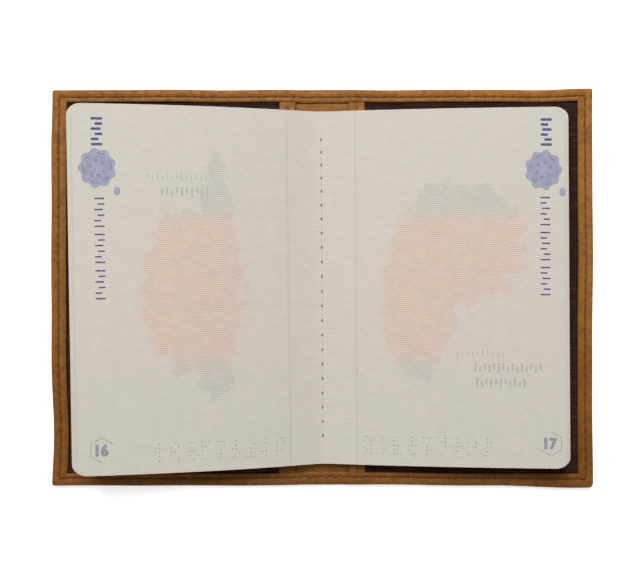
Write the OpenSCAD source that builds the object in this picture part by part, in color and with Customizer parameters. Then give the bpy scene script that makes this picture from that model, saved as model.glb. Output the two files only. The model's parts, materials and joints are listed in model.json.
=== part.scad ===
// Leather passport holder, lying open on a table with a travel booklet held in its two pockets.
// X runs across the open holder, Y up the pages, Z up from the table. The origin is on the table, under
// the middle of the spine. "front" is the half at -X, "back" the half at +X. Sizes are in millimetres.

/* [Booklet] */
// Width of one booklet cover, from the middle of its spine to its outer edge
booklet_w = 88; // [70:1:110]
// Height of the booklet
booklet_h = 125; // [100:1:160]
// Radius of the booklet's outer corners
booklet_r = 3.2; // [1:0.1:6]
// Thickness of the booklet's laminated cover
booklet_cover_t = 0.5; // [0.3:0.05:1]
// Thickness of the endpaper glued inside each cover
endpaper_t = 0.1; // [0.08:0.02:0.2]
// Number of leaves on each side of the sewn fold
leaf_count = 8; // [4:1:10]
// How far the leaves end short of the cover's outer edge
leaf_trim = 2.8; // [0:0.1:5]
// Thickness of one leaf
leaf_t = 0.12; // [0.08:0.01:0.16]
// Air between two neighbouring leaves at the fold
leaf_air = 0.04; // [0.03:0.01:0.1]
// How far a leaf's bow stands over the straight line between its ends
leaf_bow = 0.45; // [0.3:0.05:0.8]
// Angle of the lowest and the highest front leaf above the table
front_leaf_angles = [9.6, 10.6]; // [4:0.1:15]
// Angle of the lowest and the highest back leaf above the table
back_leaf_angles = [4.6, 5]; // [4:0.1:15]

/* [Holder] */
// Thickness of the outer leather
leather_t = 1.0; // [0.6:0.1:1.6]
// Thickness of the leather that is turned in over the edges
hem_t = 0.8; // [0.5:0.1:1.2]
// Width of the turned-in edge at the top and the bottom
hem_w = 4.9; // [4:0.1:8]
// Width of the turned-in edge at the two sides
side_hem_w = 5.5; // [4:0.1:8]
// Corner radius of the outer leather
corner_r = 1.8; // [0.5:0.1:4]
// Width of the soft strip between the two fold lines
spine_w = 7; // [6:0.1:14]
// Thickness of the leather that lines the spine
spine_lining_t = 0.6; // [0.4:0.1:0.8]
// How far the spine lining reaches under each pocket
lining_lap = 2.5; // [1:0.1:6]
// Thickness of the stiffener board in each cover
board_t = 0.6; // [0.4:0.1:1]
// Thickness of the woven lining glued on the board
lining_t = 0.3; // [0.2:0.05:0.6]

/* [Pockets] */
// Thickness of the woven pocket fabric
pocket_t = 0.25; // [0.2:0.05:0.5]
// Distance from the middle of the spine to the pocket's mouth
mouth_x = 9.9; // [8:0.1:16]
// Room between the booklet and the turned-in edge, all round
pocket_room = 3.4; // [2:0.1:6]
// Width of the leather binding along the pocket's mouth
binding_w = 5.8; // [4:0.1:9]
// Thickness of the binding
binding_t = 0.4; // [0.3:0.05:0.6]

/* [Stitching] */
// Distance from one stitch to the next
stitch_pitch = 3.2; // [2.6:0.1:5]
// Visible length of a stitch
stitch_l = 2.3; // [1.5:0.1:2.5]
// Width of the thread
stitch_w = 0.55; // [0.3:0.05:0.8]
// Height of a stitch over the leather
stitch_h = 0.15; // [0.1:0.01:0.2]
// Distance from the holder's edge to the middle of the stitch line
stitch_inset = 2.5; // [1.8:0.1:3]
// Distance from one sewing hole of the booklet to the next
sewing_pitch = 5; // [3:0.1:8]
// Share of the booklet's height that is sewn
sewing_share = 0.85; // [0.5:0.01:0.9]

/* [Hidden] */
// Clearances
slip = 0.05;         // between pieces that lie on each other or side by side
cover_slip = 0.6;    // between the booklet's cover edge and the pocket's side walls
fit_gap = 0.1;       // between a layer's edge and the leather wall round it
leaf_root = 0.35;    // from a leaf's turning axis to where the free leaf starts
leaf_fold = 0.12;    // from the middle of the fold to the turning axis of the top leaf
thread_h = 0.1;      // height of the sewing thread
over = 1;            // how far a cutting solid runs past what it cuts

// Heights over the table, from the bottom up
z_board = leather_t + board_t;
z_lining = z_board + lining_t;
z_flange = z_lining + pocket_t;
z_hem = z_flange + hem_t;
z_cover = z_lining + slip;
z_endpaper = z_cover + booklet_cover_t;
z_pocket = z_endpaper + endpaper_t + slip;
z_binding = z_pocket + pocket_t;
z_spine_lining = leather_t + spine_lining_t;
z_spine_hem = z_spine_lining + hem_t;
z_sheets = z_endpaper + endpaper_t + slip;
z_fold = max(z_sheets, z_spine_hem + stitch_h) + 3 * slip;

// Plan
fold_x = spine_w / 2;
holder_x = booklet_w + pocket_room + side_hem_w;
holder_y = booklet_h / 2 + pocket_room + hem_w;
window_x = holder_x - side_hem_w;
window_y = holder_y - hem_w;
board_x = mouth_x + lining_lap;
wrap_x = mouth_x - binding_t;
layer_x = holder_x - leather_t - fit_gap;
layer_y = holder_y - leather_t - fit_gap;

// Leaves: number 1 lies lowest, the last one is the page that shows
leaf_pitch = leaf_t + leaf_air;
leaf_steps = 6;
leaf_l = booklet_w - leaf_trim - leaf_root - leaf_x(leaf_count);
page_turns = 5;      // flat steps in a page corner
corner_turns = 6;    // flat steps in a holder corner
function leaf_x(i) = leaf_fold + (leaf_count - i) * leaf_pitch;
function leaf_z(i) = z_sheets + slip + leaf_t / 2 + (i - 1) * leaf_pitch;
// The lowest leaf lies clear of the binding below it, and what lifts it lifts the leaves above it as much
least_angle = atan((z_binding + binding_t + slip - leaf_z(1) + leaf_t / 2) / (wrap_x - leaf_x(1)));
function leaf_angle(i, ends) =
    max(ends[0], least_angle) + (ends[1] - ends[0]) * (i - 1) / (leaf_count - 1);
// A point of the leaf in its own plane: t is its place along the chord, side is -1 under and 1 over the leaf
function leaf_point(t, side) = [leaf_root + t * leaf_l, 4 * leaf_bow * t * (1 - t) + side * leaf_t / 2];

// ---- Shapes that repeat ----

// Outline from x0 to x1 and over +-y, with round corners at x1
module half_outline(x0, x1, y, r, turns) {
    arc = [for (k = [0:turns]) let (a = 90 * k / turns) [x1 - r + r * cos(a), y - r + r * sin(a)]];
    far = [for (k = [turns:-1:0]) [arc[k][0], -arc[k][1]]];
    polygon(concat([[x0, -y]], far, arc, [[x0, y]]));
}

// Flat layer of a cover between two heights
module layer(x0, x1, y, z0, z1, r = corner_r, turns = corner_turns) {
    translate([0, 0, z0]) linear_extrude(z1 - z0) half_outline(x0, x1, y, r, turns);
}

// One stitch, lying along X
module stitch(l = stitch_l) {
    translate([0, 0, stitch_h / 2]) cube([l, stitch_w, stitch_h], center = true);
}

// Middles of the stitches between two ends, on the pitch that starts at 0, each wholly inside
function stitch_places(low, high) = [
    for (k = [floor(low / stitch_pitch):ceil(high / stitch_pitch)])
        let (p = (k + 0.5) * stitch_pitch)
        if (p - stitch_l / 2 > low && p + stitch_l / 2 < high) p
];

// Row of stitches along X on both long edges of the holder
module edge_rows(low, high, z) {
    for (x = stitch_places(low, high), y = [-1, 1])
        translate([x, y * (holder_y - stitch_inset), z]) stitch();
}

// Row of stitches along Y
module upright_row(x, reach, z) {
    for (y = stitch_places(-reach, reach)) translate([x, y, z]) rotate([0, 0, 90]) stitch();
}

// ---- The spine, between the two fold lines ----

module spine_leather() {
    color("peru") difference() {
        translate([-fold_x, -holder_y, 0]) cube([spine_w, 2 * holder_y, z_spine_hem]);
        translate([-fold_x - over, -holder_y + leather_t, leather_t])
            cube([spine_w + 2 * over, 2 * (holder_y - leather_t), spine_lining_t]);
        translate([-fold_x - over, -window_y, leather_t])
            cube([spine_w + 2 * over, 2 * window_y, z_spine_hem]);
    }
}

module spine_lining() {
    color("sandybrown") translate([-fold_x, -layer_y, leather_t])
        cube([spine_w, 2 * layer_y, spine_lining_t]);
}

module spine_edge_stitching() {
    color("saddlebrown") edge_rows(-fold_x, fold_x, z_spine_hem);
}

// ---- One cover, drawn for the back half ----

// Outer leather with its edges turned in; the turned edge lies lower beside the spine, where less is under it
module cover_leather() {
    color("peru") {
        difference() {
            layer(wrap_x, holder_x, holder_y, 0, z_hem);
            layer(wrap_x - over, holder_x - leather_t, holder_y - leather_t, leather_t, z_flange);
            layer(wrap_x - over, window_x, window_y, leather_t, z_hem + over, r = slip);
        }
        difference() {
            translate([fold_x, -holder_y, 0]) cube([wrap_x - fold_x, 2 * holder_y, z_spine_hem]);
            translate([fold_x - over, -holder_y + leather_t, leather_t])
                cube([wrap_x - fold_x + 2 * over, 2 * (holder_y - leather_t), spine_lining_t]);
            translate([fold_x - over, -window_y, leather_t])
                cube([wrap_x - fold_x + 2 * over, 2 * window_y, z_spine_hem]);
        }
    }
}

module cover_spine_lining() {
    color("sandybrown") translate([fold_x, -layer_y, leather_t])
        cube([board_x - fit_gap - fold_x, 2 * layer_y, spine_lining_t]);
}

module cover_board() {
    color("gray") layer(board_x, layer_x, layer_y, leather_t, z_board);
}

module cover_lining() {
    color("darkslategray") layer(mouth_x, layer_x, layer_y, z_board, z_lining);
}

// Woven panel that stands over the booklet's cover and lies flat under the turned-in edge; open at the mouth
module cover_pocket() {
    room_x = booklet_w + cover_slip;
    room_y = booklet_h / 2 + cover_slip;
    color("dimgray") difference() {
        union() {
            layer(mouth_x, layer_x, layer_y, z_lining, z_flange);
            layer(mouth_x, room_x + pocket_t, room_y + pocket_t, z_lining, z_binding);
        }
        layer(mouth_x - over, room_x, room_y, z_lining - over, z_pocket);
    }
}

// Leather strip folded round the pocket's mouth; its two ends step down to the turned-in edge, and the fold
// ends just short of those steps
module cover_pocket_binding() {
    top_y = booklet_h / 2 + cover_slip + pocket_t;
    strip_w = binding_w - binding_t;
    fold_y = top_y - slip;
    color("peru") {
        translate([mouth_x, -top_y, z_binding]) cube([strip_w, 2 * top_y, binding_t]);
        translate([wrap_x, -fold_y, z_pocket]) cube([binding_t, 2 * fold_y, pocket_t + binding_t]);
        for (side = [0, 1]) mirror([0, side, 0]) {
            translate([mouth_x, top_y, z_flange])
                cube([strip_w, binding_t, z_binding + binding_t - z_flange]);
            translate([mouth_x, top_y, z_flange])
                cube([strip_w, window_y - fit_gap - top_y, binding_t]);
        }
    }
}

module cover_edge_stitching() {
    color("saddlebrown") {
        edge_rows(fold_x, wrap_x, z_spine_hem);
        edge_rows(wrap_x, holder_x - stitch_inset - stitch_w, z_hem);
        upright_row(holder_x - stitch_inset, holder_y - stitch_inset - stitch_w, z_hem);
    }
}

module cover_binding_stitching() {
    middle_x = mouth_x + binding_w / 2 - binding_t;
    color("saddlebrown") upright_row(middle_x, booklet_h / 2, z_binding + binding_t);
}

// ---- The booklet ----

module booklet_spine() {
    color("maroon") translate([-fold_x + slip, -booklet_h / 2, z_cover])
        cube([spine_w - 2 * slip, booklet_h, booklet_cover_t]);
}

module booklet_cover() {
    color("maroon") layer(
        fold_x + slip, booklet_w, booklet_h / 2, z_cover, z_endpaper, booklet_r, page_turns);
}

module booklet_endpaper() {
    color("lightgray") layer(
        fold_x + slip, booklet_w, booklet_h / 2, z_endpaper, z_endpaper + endpaper_t, booklet_r, page_turns);
}

// Backs of the folded sheets, nested in each other and sewn down on the booklet's spine
module booklet_sewn_folds() {
    foot = leaf_x(1) - slip;
    tip = leaf_x(leaf_count) - slip / 2;
    top = leaf_z(leaf_count) - slip;
    color("ivory") rotate([90, 0, 0]) linear_extrude(booklet_h, center = true)
        polygon([[-foot, z_endpaper], [foot, z_endpaper], [foot, z_sheets],
                 [tip, top], [-tip, top], [-foot, z_sheets]]);
}

// Sewing thread on the top of the fold: one stitch on every pitch
module booklet_sewing_thread() {
    count = floor(sewing_share * booklet_h / sewing_pitch);
    thread = leaf_x(leaf_count);
    color("white") for (k = [0:count - 1])
        translate([0, (k + 0.5 - count / 2) * sewing_pitch, leaf_z(leaf_count) - slip + thread_h / 2])
            cube([2 * thread, sewing_pitch - 2 * stitch_w, thread_h], center = true);
}

// One leaf of the back half: a thin bowed sheet that starts beside its turning axis
module leaf(i, ends) {
    a = leaf_angle(i, ends);
    under = [for (k = [0:leaf_steps]) leaf_point(k / leaf_steps, -1)];
    upper = [for (k = [leaf_steps:-1:0]) leaf_point(k / leaf_steps, 1)];
    color("ivory") translate([leaf_x(i), 0, leaf_z(i)]) rotate([0, -a, 0]) intersection() {
        rotate([90, 0, 0]) linear_extrude(booklet_h, center = true) polygon(concat(under, upper));
        layer(0, leaf_root + leaf_l, booklet_h / 2, -over, leaf_bow + over, booklet_r, page_turns);
    }
}

// ---- Nodes ----

module cover_piece(piece) {
    if (piece == "leather") cover_leather();
    if (piece == "spine_lining") cover_spine_lining();
    if (piece == "board") cover_board();
    if (piece == "lining") cover_lining();
    if (piece == "pocket") cover_pocket();
    if (piece == "pocket_binding") cover_pocket_binding();
    if (piece == "edge_stitching") cover_edge_stitching();
    if (piece == "binding_stitching") cover_binding_stitching();
}

spine_leather();
spine_lining();
spine_edge_stitching();
booklet_spine();
booklet_sewn_folds();
booklet_sewing_thread();
for (half = ["front", "back"]) mirror([half == "front" ? 1 : 0, 0, 0]) {
    for (piece = ["leather", "spine_lining", "board", "lining", "pocket", "pocket_binding",
                  "edge_stitching", "binding_stitching"])
        cover_piece(piece);
    booklet_cover();
    booklet_endpaper();
    for (i = [1:leaf_count])
        leaf(i, half == "front" ? front_leaf_angles : back_leaf_angles);
}
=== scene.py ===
"""Leather passport holder, open on a table with a travel booklet in its pockets: the looks round the CAD.

Lengths are in millimetres unless said, and become metres in make_mesh(). "Half" is "front" (-X) or "back" (+X).
"""
import json
import math

import bmesh
import bpy
import numpy as np
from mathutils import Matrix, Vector


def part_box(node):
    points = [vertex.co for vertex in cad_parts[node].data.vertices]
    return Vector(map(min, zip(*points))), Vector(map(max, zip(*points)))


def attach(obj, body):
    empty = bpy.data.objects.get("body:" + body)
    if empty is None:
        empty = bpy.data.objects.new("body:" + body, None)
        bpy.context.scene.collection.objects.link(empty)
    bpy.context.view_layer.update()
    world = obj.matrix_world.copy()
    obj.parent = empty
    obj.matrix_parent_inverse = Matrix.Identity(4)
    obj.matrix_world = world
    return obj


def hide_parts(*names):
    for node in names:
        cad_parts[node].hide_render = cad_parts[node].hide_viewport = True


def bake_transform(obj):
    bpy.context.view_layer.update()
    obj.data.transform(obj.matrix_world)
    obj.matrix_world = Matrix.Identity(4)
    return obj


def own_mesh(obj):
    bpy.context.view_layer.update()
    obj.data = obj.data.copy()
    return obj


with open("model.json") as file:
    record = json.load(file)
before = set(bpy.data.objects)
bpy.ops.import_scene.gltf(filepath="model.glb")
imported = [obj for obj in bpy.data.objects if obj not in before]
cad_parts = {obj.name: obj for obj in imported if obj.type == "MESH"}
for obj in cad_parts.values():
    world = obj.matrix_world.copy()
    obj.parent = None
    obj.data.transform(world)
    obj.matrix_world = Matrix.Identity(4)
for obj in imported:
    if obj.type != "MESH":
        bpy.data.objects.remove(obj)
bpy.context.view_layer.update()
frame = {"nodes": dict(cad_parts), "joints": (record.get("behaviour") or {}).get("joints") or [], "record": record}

MM = 0.001
HALVES = {"front": -1, "back": 1}


def node_box(name):
    """Lowest and highest corner of a CAD node, in millimetres."""
    return tuple(np.array(corner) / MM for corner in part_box(name))


# ---- Sizes, read from the frame ----

JOINTS = {j["name"]: j for j in frame["joints"]}
RATIOS = {c["joint"]: c["ratio"] for c in frame["record"]["behaviour"]["couplings"]}
FOLD_X = JOINTS["back_fold"]["pos_m"][0] / MM
HOLDER = node_box("back_leather")[1]  # outer corner of the holder and top of the turned-in edge
SPINE_TOP = node_box("spine_leather")[1][2]  # top of the turned-in edge at the spine
LINING_BOX = node_box("back_spine_lining")
PANEL_BOX = node_box("back_lining")
POCKET_BOX = node_box("back_pocket")
BINDING_BOX = node_box("back_pocket_binding")
COVER_BOX = node_box("booklet_back_cover")
ENDPAPER_BOX = node_box("booklet_back_endpaper")
LEAF_COUNT = sum(1 for n in frame["nodes"] if n.startswith("front_leaf_"))
LEAF_H = COVER_BOX[1][1]  # half the height of the booklet
CLOSED_ANGLE = 88.8  # a leaf's angle when its cover stands at 90 degrees

# ---- Sizes that only the looks have ----

LEATHER_T = 1.0  # thickness of the outer leather
SIDE_HEM, LONG_HEM = 5.6, 4.6  # width of the turned-in edge at the sides, and at the top and bottom
STITCH_INSET = 2.9  # from the holder's edge to the stitch line
STITCH_X, STITCH_Y = HOLDER[0] - STITCH_INSET, HOLDER[1] - STITCH_INSET
PITCH_X, PITCH_Y = STITCH_X / 29, STITCH_Y / 20.5  # stitches meet in a hole at each corner
STITCH_PITCH = 3.2  # along the bindings
STITCH_L, STITCH_R = 2.1, 0.22
BLEND_REACH = 2.2  # the leather bends this far to each side of the fold line
LEATHER_NOSE = 1.05  # radius of the leather's folded edge
POCKET_T = 0.25
LEAF_T = 0.12
PAGE_CORNER = 3.5
# The top leaf's rim is darker: partly its cut edge, partly painted shade where it steps over the leaves beneath.
PAGE_RIM_SHADE = 0.45, 0.1  # the top leaf's edge is tinted from here to here, measured in from its end
PATTERN_STEP = 7.0  # sets the paper's pattern on one leaf apart from the next leaf's
CREASE_U = 12.3  # the pocket's edge pressed a crease into the top leaf here
BOOKLET_SKEW = 0.006  # the booklet lies a third of a degree askew in its pockets
TAPER = {"front": 0.005, "back": 0.0}  # how much narrower a page is at its foot
BOW = {"front": (1.8, 2.3), "back": (0.9, 1.2)}  # bow of the lowest and the top leaf
# How far the lowest leaves reach beyond the CAD's, and two steps in: halfway up, and at the top leaf.
FAN = {"front": (0.5, 0.25, 0.6), "back": (-0.1, 0.1, 0.35)}
TWIST = {"front": 0.0075, "back": 0.0}  # turn of the pages beyond the booklet's skew
WEAVE_PITCH = 0.71  # from one thread to the next
PLY_PITCH = 0.32  # from one turn of a thread's twist to the next
SEWING_PITCH = 5.0  # between the holes in the gutter
SEWING_DRIFT = 1.85  # the holes near the middle lie this far up the fold
SEWING_HOLE = 0.33, 0.6  # half its width and half its length
SEWING_R, SEWING_DIVE = 0.13, 0.18
STRIP_W = 1.6  # reach of the middle sheet's strip from each leaf's hinge
FLOOR_HALF, FLOOR_DROP = 3.0, 0.02  # metres, millimetres
KEY_PLACE, KEY_WIDTH, KEY_POWER = (-0.14, 0.85, 1.05), 0.6, 16.9  # metres, watts
SKY_STRENGTH, FLOOR_GLOW = 0.32, 0.58
CAMERA_X, CAMERA_Y, CAMERA_DISTANCE, CAMERA_LENS = -0.7, 1.8, 269.0, 42.0


# ---- Camera ----

def make_camera():
    data = bpy.data.cameras.new("camera")
    data.lens = CAMERA_LENS
    data.sensor_width = 36
    data.clip_start = 0.01
    camera = bpy.data.objects.new("camera", data)
    camera.location = Vector((CAMERA_X, CAMERA_Y, CAMERA_DISTANCE)) * MM
    bpy.context.scene.collection.objects.link(camera)
    bpy.context.scene.camera = camera


make_camera()


# ---- Shapes in general ----

def smooth(low, high, value):
    """0 below low, 1 above high, and a smooth step between."""
    t = np.clip((np.asarray(value, float) - low) / (high - low), 0, 1)
    return t * t * (3 - 2 * t)


def warp(points):
    """The leather's edges aren't straight: moves points near the holder's edges along with them."""
    x, y, z = (points[..., k] for k in range(3))
    upper, lower = smooth(48, 68, y), smooth(48, 68, -y)
    side = smooth(74, 94, np.abs(x))
    rise = 0.42 * smooth(74, 92, x) + 0.09 * np.sin(x / 9 + 2) + 0.05 * np.sin(x / 4.7)
    corner = 0.75 * smooth(60, 90, x) * smooth(66, 71, -y)
    drop = 0.15 - 0.4 * np.exp(-((x - 14) / 26) ** 2) + corner + 0.05 * np.sin(x / 6)
    left = -0.9 * np.exp(-((y + 53) / 17) ** 2) - 0.35 * smooth(50, 68, y)
    out = np.where(x > 0, 0.15 * np.cos((y - 13) / 14), left)
    out = out + 0.05 * np.sin(y / 6.1)
    return np.stack([x + side * np.sign(x) * out, y + upper * rise - lower * drop, z], axis=-1)


def make_mesh(name, points, faces, rest=None, marks=None, sharp=38):
    """A smooth mesh object. rest: the places its material's patterns follow; marks: a number per point."""
    points = np.asarray(points, float).reshape(-1, 3)
    rest = points if rest is None else np.asarray(rest, float).reshape(-1, 3)
    mesh = bpy.data.meshes.new(name)
    mesh.from_pydata((points * MM).tolist(), [], faces)
    places = mesh.attributes.new("rest", "FLOAT_VECTOR", "POINT")
    places.data.foreach_set("vector", rest.astype(np.float32).ravel())
    if marks is not None:
        edge = mesh.attributes.new("edge", "FLOAT", "POINT")
        edge.data.foreach_set("value", np.asarray(marks, np.float32).ravel())
    mesh.validate()
    piece = bpy.data.objects.new(name, mesh)
    bpy.context.scene.collection.objects.link(piece)
    clean(mesh)
    mesh.shade_smooth()
    mesh.set_sharp_from_angle(angle=math.radians(sharp))
    return piece


def clean(mesh):
    """Welds points that meet and turns all faces outwards."""
    bm = bmesh.new()
    bm.from_mesh(mesh)
    bmesh.ops.remove_doubles(bm, verts=bm.verts, dist=0.002 * MM)
    bmesh.ops.dissolve_degenerate(bm, edges=bm.edges, dist=0.0005 * MM)
    bmesh.ops.recalc_face_normals(bm, faces=bm.faces)
    bm.to_mesh(mesh)
    bm.free()


def grid_faces(rows, columns, start=0, wrap=False):
    """Quads between neighbouring rows of points; wrap joins each row's last point to its first."""
    faces = []
    last = columns if wrap else columns - 1
    for r in range(rows - 1):
        for c in range(last):
            a, b = start + r * columns + c, start + r * columns + (c + 1) % columns
            faces.append((a, b, b + columns, a + columns))
    return faces


def end_caps(rows, columns):
    """The first and the last row of points, each as one face."""
    return [list(range(columns))[::-1], [(rows - 1) * columns + c for c in range(columns)]]


def swept(points):
    """Faces of a closed section swept along rows, with both ends capped."""
    rows, columns = points.shape[:2]
    return grid_faces(rows, columns, wrap=True) + end_caps(rows, columns)


def slab(top, bottom):
    """Points and faces of a thin closed sheet between two grids of the same size."""
    rows, columns = top.shape[:2]
    count = rows * columns
    faces = grid_faces(rows, columns) + [f[::-1] for f in grid_faces(rows, columns, start=count)]
    rim = [(0, c) for c in range(columns)] + [(r, columns - 1) for r in range(1, rows)]
    rim += [(rows - 1, c) for c in range(columns - 2, -1, -1)] + [(r, 0) for r in range(rows - 2, 0, -1)]
    rim = [r * columns + c for r, c in rim]
    for a, b in zip(rim, rim[1:] + rim[:1]):
        faces.append((b, a, a + count, b + count))
    return np.concatenate([top.reshape(-1, 3), bottom.reshape(-1, 3)]), faces


def add_part(points, faces, part_points, part_faces):
    """Adds one part's points and faces to the lists of a mesh."""
    start = sum(len(p) for p in points)
    faces += [tuple(start + k for k in f) for f in part_faces]
    points.append(part_points)


def spaced(low, high, step):
    return np.linspace(low, high, max(2, round(abs((high - low) / step)) + 1))


# ---- Materials ----

class Paint:
    """A material, with short calls for the nodes that its looks need. Patterns are in millimetres."""

    def __init__(self, name, roughness, specular=0.35):
        self.material = bpy.data.materials.new(name)
        self.material.use_nodes = True
        self.tree = self.material.node_tree
        self.shader = self.tree.nodes["Principled BSDF"]
        self.shader.inputs["Roughness"].default_value = roughness
        self.shader.inputs["Specular IOR Level"].default_value = specular
        self.place = self.attribute("rest").outputs["Vector"]

    def node(self, kind, inputs=(), **settings):
        node = self.tree.nodes.new(kind)
        for key, value in settings.items():
            setattr(node, key, value)
        for key, value in dict(inputs).items():
            if isinstance(value, bpy.types.NodeSocket):
                self.tree.links.new(value, node.inputs[key])
            else:
                node.inputs[key].default_value = value
        return node

    def attribute(self, name):
        return self.node("ShaderNodeAttribute", attribute_name=name)

    # The edge marks: darker cut edges and folds, painted shade in stitch grooves and holes, and the top leaf's
    # rim, partly painted shade.
    def edge(self):
        return self.attribute("edge").outputs["Fac"]

    def math(self, operation, a, b=0.0):
        return self.node("ShaderNodeMath", {0: a, 1: b}, operation=operation).outputs[0]

    def times(self, a, b):
        return self.math("MULTIPLY", a, b)

    def plus(self, a, b):
        return self.math("ADD", a, b)

    def wave(self, value, period):
        return self.math("SINE", self.times(value, 2 * math.pi / period))

    def axes(self):
        split = self.node("ShaderNodeSeparateXYZ", {0: self.place})
        return split.outputs[0], split.outputs[1]

    def stretched(self, x, y):
        inputs = {0: self.place, 1: (x, y, 1)}
        return self.node("ShaderNodeVectorMath", inputs, operation="MULTIPLY").outputs[0]

    def noise(self, size, detail=3.0, rough=0.55, place=None):
        inputs = {"Vector": place or self.place, "Scale": 1 / size, "Detail": detail, "Roughness": rough}
        return self.node("ShaderNodeTexNoise", inputs).outputs["Fac"]

    def cells(self, size, feature="F1"):
        inputs = {"Vector": self.place, "Scale": 1 / size}
        return self.node("ShaderNodeTexVoronoi", inputs, feature=feature).outputs["Distance"]

    def span(self, value, low, high, to_low=0.0, to_high=1.0):
        inputs = {"Value": value, "From Min": low, "From Max": high, "To Min": to_low, "To Max": to_high}
        return self.node("ShaderNodeMapRange", inputs, interpolation_type="SMOOTHSTEP").outputs[0]

    def mix(self, share, first, second, blend="MIX"):
        node = self.node("ShaderNodeMix", data_type="RGBA", blend_type=blend)
        for key, value in ((0, share), (6, first), (7, second)):
            if isinstance(value, bpy.types.NodeSocket):
                self.tree.links.new(value, node.inputs[key])
            else:
                node.inputs[key].default_value = value if key == 0 else (*value, 1)
        return node.outputs[2]

    def finish(self, colour, height=None, depth=0.1, strength=1.0, roughness=None):
        """Joins colour, roughness and a relief of that depth in millimetres to the shader."""
        self.tree.links.new(colour, self.shader.inputs["Base Color"])
        if roughness is not None:
            self.tree.links.new(roughness, self.shader.inputs["Roughness"])
        if height is not None:
            inputs = {"Height": height, "Strength": strength, "Distance": depth * MM}
            bump = self.node("ShaderNodeBump", inputs)
            self.tree.links.new(bump.outputs[0], self.shader.inputs["Normal"])
        return self.material


def leather_material(name, light, mid, dark):
    """Waxed nubuck: cloudy patches, fine pores, hair-fine scuffs, darker folds and cut edges, painted shade in the
    stitch grooves and holes, painted shade towards the foot and painted light at the upper right.
    """
    p = Paint(name, roughness=0.5, specular=0.18)
    p.shader.inputs["Sheen Weight"].default_value = 0.04
    p.shader.inputs["Sheen Roughness"].default_value = 0.5
    p.shader.inputs["Sheen Tint"].default_value = (0.9, 0.6, 0.35, 1)
    clouds = p.noise(11, detail=3)
    mottle = p.noise(1.7, detail=5, rough=0.65)
    fibres = p.noise(0.32, detail=3, rough=0.7)
    scuffs = p.noise(1.4, detail=4, place=p.stretched(0.35, 2.6))
    pores = p.cells(0.42)
    colour = p.mix(p.span(clouds, 0.32, 0.68), mid, light)
    colour = p.mix(p.span(mottle, 0.38, 0.72, 0.0, 0.7), colour, dark)
    colour = p.mix(p.span(scuffs, 0.58, 0.72, 0.0, 0.3), colour, light)
    colour = p.mix(p.span(pores, 0.0, 0.24, 0.28, 0.0), colour, dark)
    x, y = p.axes()
    # Painted shade: the leather darkens towards the foot, away from the key light beyond the head.
    painted_foot_shade = p.span(y, -72, 10, 1.0, 0.0)  # darker towards the foot
    colour = p.mix(painted_foot_shade, colour, (0.76, 0.70, 0.64), blend="MULTIPLY")
    # Painted light: the upper right of the leather is made paler, as if lit more strongly.
    pale = p.times(p.span(x, -10, 70), p.span(y, -30, 50))  # paler at the upper right
    colour = p.mix(pale, colour, (1.17, 1.22, 1.36), blend="MULTIPLY")
    # The edge marks darken cut edges and folds, and paint shade along the stitch grooves and in the stitch holes.
    colour = p.mix(p.times(p.edge(), 0.95), colour, (0.075, 0.021, 0.003))
    height = p.plus(p.times(mottle, 0.6), p.times(fibres, 0.35))
    height = p.plus(height, p.span(pores, 0.0, 0.26, 0.0, 0.5))
    rough = p.span(mottle, 0.3, 0.7, 0.42, 0.6)
    return p.finish(colour, height, depth=0.09, strength=0.8, roughness=rough)


def woven_material(name, warp_colour, weft_colour):
    """Plain weave: each crossing bulges, and its sign says which of the two threads lies on top; between the
    crossings the colour is darkened with painted shade.
    """
    p = Paint(name, roughness=0.7, specular=0.06)
    x, y = p.axes()
    across = p.wave(x, 2 * WEAVE_PITCH)
    along = p.wave(y, 2 * WEAVE_PITCH)
    crossing = p.times(across, along)
    bulge = p.math("ABSOLUTE", crossing)
    colour = p.mix(p.span(crossing, -0.1, 0.1, 0.4, 1.0), warp_colour, weft_colour)
    # Painted shade: darker between the crossings, where the threads dip under each other.
    colour = p.mix(p.span(bulge, 0.1, 0.8, 1.0, 0.0), colour, (0.004, 0.0012, 0.0010))
    slub = p.noise(3.0, detail=3, place=p.stretched(0.4, 2.5))
    colour = p.mix(p.span(slub, 0.45, 0.75, 0.0, 0.4), colour, tuple(1.3 * c for c in weft_colour))
    return p.finish(colour, bulge, depth=0.09)


def thread_material(name, base, tint):
    """Two-ply twisted thread."""
    p = Paint(name, roughness=0.75, specular=0.08)
    x, y = p.axes()
    twist = p.wave(p.plus(x, y), PLY_PITCH)
    fuzz = p.noise(0.25, detail=2)
    colour = p.mix(p.span(twist, -0.8, 0.8), base, tint)
    colour = p.mix(p.span(fuzz, 0.4, 0.8, 0.0, 0.5), colour, base)
    return p.finish(colour, twist, depth=0.05)


# Middle and radii of the ovals that the ragged patches are made of.
PATCHES = (((-45, -1), (17.5, 29)), ((-37, 2), (8, 41)), ((49, 16), (21.5, 21)), ((34, -3), (12.5, 30)))
LINE_PITCH, CREASE_SHADE_X, BAND_EDGE = 0.72, 12.0, (22.0, 29.0)  # of the paper's printing, and its creases


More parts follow.
